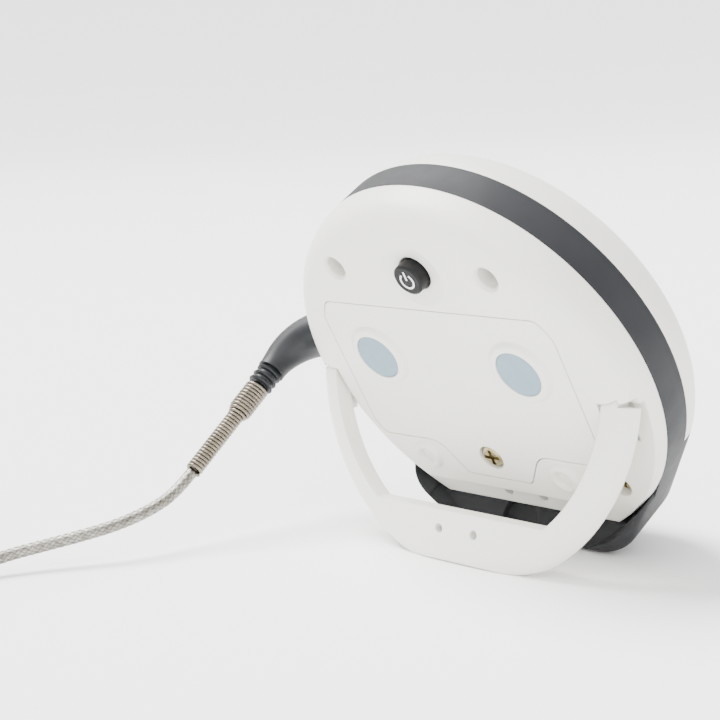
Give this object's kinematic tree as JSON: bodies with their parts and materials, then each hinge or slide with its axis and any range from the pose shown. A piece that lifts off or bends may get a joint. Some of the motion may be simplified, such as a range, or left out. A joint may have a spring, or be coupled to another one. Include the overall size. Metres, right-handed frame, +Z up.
{
  "type": "meat thermometer",
  "caption": "Round probe thermometer with a fold-out stand, magnets, battery cover, plug-in braided lead and a steel probe.",
  "frame": {"origin": "on the table, at the middle of the footprint of the thermometer standing on its foot and its open stand, without the lead", "axes": "+Z up, +X along the case's width towards the probe's socket, the display faces -Y and up"},
  "size_m": [0.258, 0.1388, 0.079],
  "materials": {
    "white_shell": "satin",
    "dark_frame": "satin",
    "window": "polished",
    "lcd": "satin",
    "holder": "matte",
    "board": "satin",
    "components": "matte",
    "soft_rubber": "matte",
    "yellow_zinc": "plated",
    "magnet_plating": "satin",
    "cell_wrap": "gloss",
    "contact_metal": "bright",
    "plug_moulding": "satin",
    "plug_metal": "bright",
    "spring_steel": "satin",
    "braid": "braided",
    "probe_steel": "polished"
  },
  "bodies": {
    "case": {"rear_shell": "white_shell", "front_bezel": "white_shell", "battery_cover": "white_shell", "mid_frame": "dark_frame", "display_window": "window", "lcd_panel": "lcd", "lcd_holder": "holder", "main_board": "board", "power_switch": "components", "key_switches": "components", "board_chips": "components", "sounder": "components", "probe_jack": "components", "cover_seal": "soft_rubber", "lcd_contact_strips": "soft_rubber", "case_screws": "yellow_zinc", "cover_screw": "yellow_zinc", "magnet_left": "magnet_plating", "magnet_right": "magnet_plating", "upper_cell": "cell_wrap", "lower_cell": "cell_wrap", "contact_springs": "contact_metal", "contact_plates": "contact_metal", "plug_body": "plug_moulding", "plug_pin": "plug_metal", "strain_spring": "spring_steel", "lead": "braid", "lead_coil": "braid", "lead_tail": "braid", "probe_ferrule": "probe_steel", "probe_needle": "probe_steel"},
    "stand": {"stand": "white_shell"},
    "power_button": {"power_button": "soft_rubber"},
    "down_key": {"down_key": "soft_rubber"},
    "alarm_key": {"alarm_key": "soft_rubber"},
    "up_key": {"up_key": "soft_rubber"}
  },
  "joints": [
    {"name": "stand_fold", "type": "hinge", "parent": "case", "child": "stand", "pos_m": [0, 0.00697, 0.0351], "axis": [1, 0, 0], "range_deg": [-34.1, 0]},
    {"name": "power_button_press", "type": "slide", "parent": "case", "child": "power_button", "axis": [0, -0.8737, 0.4864], "range_m": [0, 0.0005], "stiffness_N_per_m": 1500},
    {"name": "down_key_press", "type": "slide", "parent": "case", "child": "down_key", "axis": [0, 0.8737, -0.4864], "range_m": [0, 0.0005], "stiffness_N_per_m": 1500},
    {"name": "alarm_key_press", "type": "slide", "parent": "case", "child": "alarm_key", "axis": [0, 0.8737, -0.4864], "range_m": [0, 0.0005], "stiffness_N_per_m": 1500},
    {"name": "up_key_press", "type": "slide", "parent": "case", "child": "up_key", "axis": [0, 0.8737, -0.4864], "range_m": [0, 0.0005], "stiffness_N_per_m": 1500}
  ]
}
